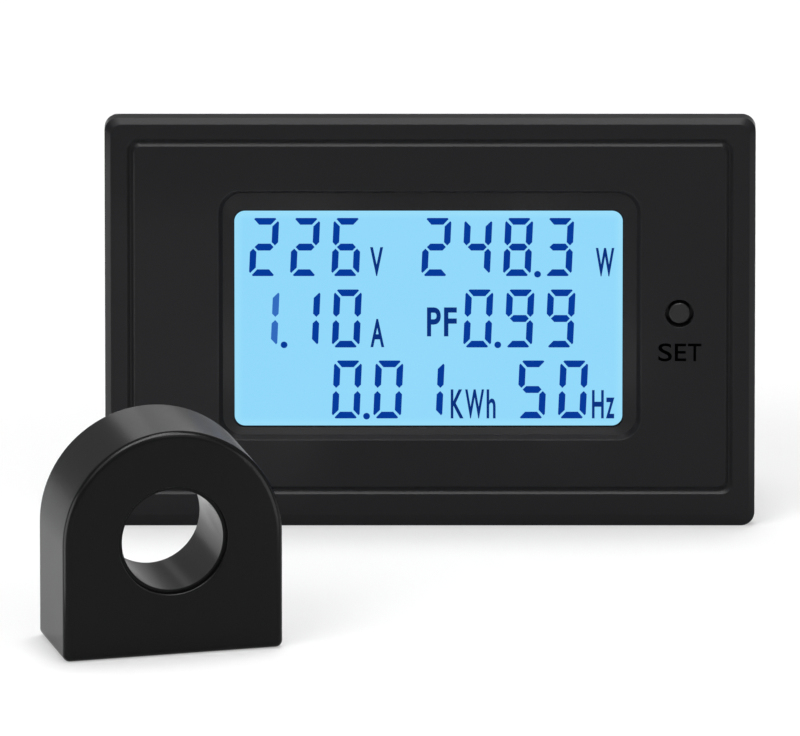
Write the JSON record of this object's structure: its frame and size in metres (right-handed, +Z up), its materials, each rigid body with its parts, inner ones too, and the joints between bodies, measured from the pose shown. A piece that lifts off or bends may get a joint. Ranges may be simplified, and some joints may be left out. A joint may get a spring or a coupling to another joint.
{
  "type": "digital power meter",
  "caption": "Black panel power meter with a wide backlit display, a key and a snap-in body, and its loose arched ring transformer.",
  "frame": {"origin": "centre of the bezel's rear face, the face that seats on a panel", "axes": "+Y out of the back of the meter, +Z up, +X to the right seen from the front"},
  "size_m": [0.0929, 0.086, 0.0554],
  "materials": {
    "housing_plastic": "fine satin black moulded plastic",
    "cover_plastic": "satin black moulded plastic",
    "key_plastic": "smooth dark grey plastic",
    "switch_plastic": "black plastic",
    "plunger_plastic": "black plastic",
    "lcd_polariser": "light blue lit film",
    "lcd_glass": "clear thin glass",
    "light_guide": "clear acrylic",
    "lamp": "white lamp body",
    "tray_plastic": "white plastic",
    "elastomer": "striped silicone rubber",
    "board": "green lacquered laminate",
    "terminal_plastic": "green moulded plastic",
    "brass_plated": "bright plated brass",
    "screw_steel": "nickel-plated steel",
    "black_screw": "black oxide steel",
    "film_box": "yellow box",
    "can_sleeve": "black sleeve",
    "disc_lacquer": "blue lacquer",
    "resistor_lacquer": "grey-green lacquer",
    "chip_plastic": "black chip plastic",
    "crystal_can": "bright steel can",
    "case_plastic": "satin black moulded plastic",
    "core_steel": "wound strip",
    "winding_copper": "enamelled copper",
    "resin": "black resin",
    "segment_ink": "dark blue of a display segment that is on",
    "legend_print": "near-black printed legend",
    "lead_tin": "tinned component leads"
  },
  "bodies": {
    "meter": {"front_housing": "housing_plastic", "rear_cover": "cover_plastic", "tact_switch": "switch_plastic", "lcd_front_polariser": "lcd_polariser", "lcd_front_glass": "lcd_glass", "lcd_rear_glass": "lcd_glass", "lcd_rear_polariser": "lcd_polariser", "backlight_guide": "light_guide", "backlight_leds": "lamp", "backlight_tray": "tray_plastic", "elastomer_connector": "elastomer", "main_board": "board", "terminal_block": "terminal_plastic", "terminal_bars": "brass_plated", "cover_screws": "black_screw", "board_screws": "screw_steel", "film_capacitor": "film_box", "electrolytic_capacitor": "can_sleeve", "varistor": "disc_lacquer", "fuse_resistor": "resistor_lacquer", "controller_chip": "chip_plastic", "metering_chip": "chip_plastic", "crystal": "crystal_can", "surface_parts": "chip_plastic"},
    "set_key": {"set_button": "key_plastic", "tact_plunger": "plunger_plastic"},
    "transformer": {"transformer_case": "case_plastic", "transformer_back": "case_plastic", "toroid_core": "core_steel", "secondary_winding": "winding_copper", "potting_fill": "resin"},
    "clamp_1": {"terminal_clamp_1": "brass_plated"},
    "screw_1": {"terminal_screw_1": "screw_steel"},
    "clamp_2": {"terminal_clamp_2": "brass_plated"},
    "screw_2": {"terminal_screw_2": "screw_steel"},
    "clamp_3": {"terminal_clamp_3": "brass_plated"},
    "screw_3": {"terminal_screw_3": "screw_steel"},
    "clamp_4": {"terminal_clamp_4": "brass_plated"},
    "screw_4": {"terminal_screw_4": "screw_steel"}
  },
  "joints": [
    {"name": "set_key_press", "type": "slide", "parent": "meter", "child": "set_key", "axis": [0, 1, 0], "range_m": [0, 0.0003], "stiffness_N_per_m": 4000, "springref_m": -0.0001},
    {"name": "transformer_lift", "type": "slide", "parent": "meter", "child": "transformer", "axis": [0, 0, 1], "range_m": [0, 0.06]},
    {"name": "terminal_screw_1_turn", "type": "hinge", "parent": "meter", "child": "screw_1", "pos_m": [0.00257, 0.018, -0.01565], "axis": [0, -1, 0], "range_deg": [0, 1801]},
    {"name": "terminal_clamp_1_rise", "type": "slide", "parent": "meter", "child": "clamp_1", "axis": [0, 1, 0], "range_m": [0, 0.0025]},
    {"name": "terminal_screw_2_turn", "type": "hinge", "parent": "meter", "child": "screw_2", "pos_m": [0.01019, 0.018, -0.01565], "axis": [0, -1, 0], "range_deg": [0, 1801]},
    {"name": "terminal_clamp_2_rise", "type": "slide", "parent": "meter", "child": "clamp_2", "axis": [0, 1, 0], "range_m": [0, 0.0025]},
    {"name": "terminal_screw_3_turn", "type": "hinge", "parent": "meter", "child": "screw_3", "pos_m": [0.01781, 0.018, -0.01565], "axis": [0, -1, 0], "range_deg": [0, 1801]},
    {"name": "terminal_clamp_3_rise", "type": "slide", "parent": "meter", "child": "clamp_3", "axis": [0, 1, 0], "range_m": [0, 0.0025]},
    {"name": "terminal_screw_4_turn", "type": "hinge", "parent": "meter", "child": "screw_4", "pos_m": [0.02543, 0.018, -0.01565], "axis": [0, -1, 0], "range_deg": [0, 1801]},
    {"name": "terminal_clamp_4_rise", "type": "slide", "parent": "meter", "child": "clamp_4", "axis": [0, 1, 0], "range_m": [0, 0.0025]}
  ],
  "couplings": [
    {"joint": "terminal_screw_1_turn", "follows": "terminal_clamp_1_rise", "rad_per_m": 12566},
    {"joint": "terminal_screw_2_turn", "follows": "terminal_clamp_2_rise", "rad_per_m": 12566},
    {"joint": "terminal_screw_3_turn", "follows": "terminal_clamp_3_rise", "rad_per_m": 12566},
    {"joint": "terminal_screw_4_turn", "follows": "terminal_clamp_4_rise", "rad_per_m": 12566}
  ]
}
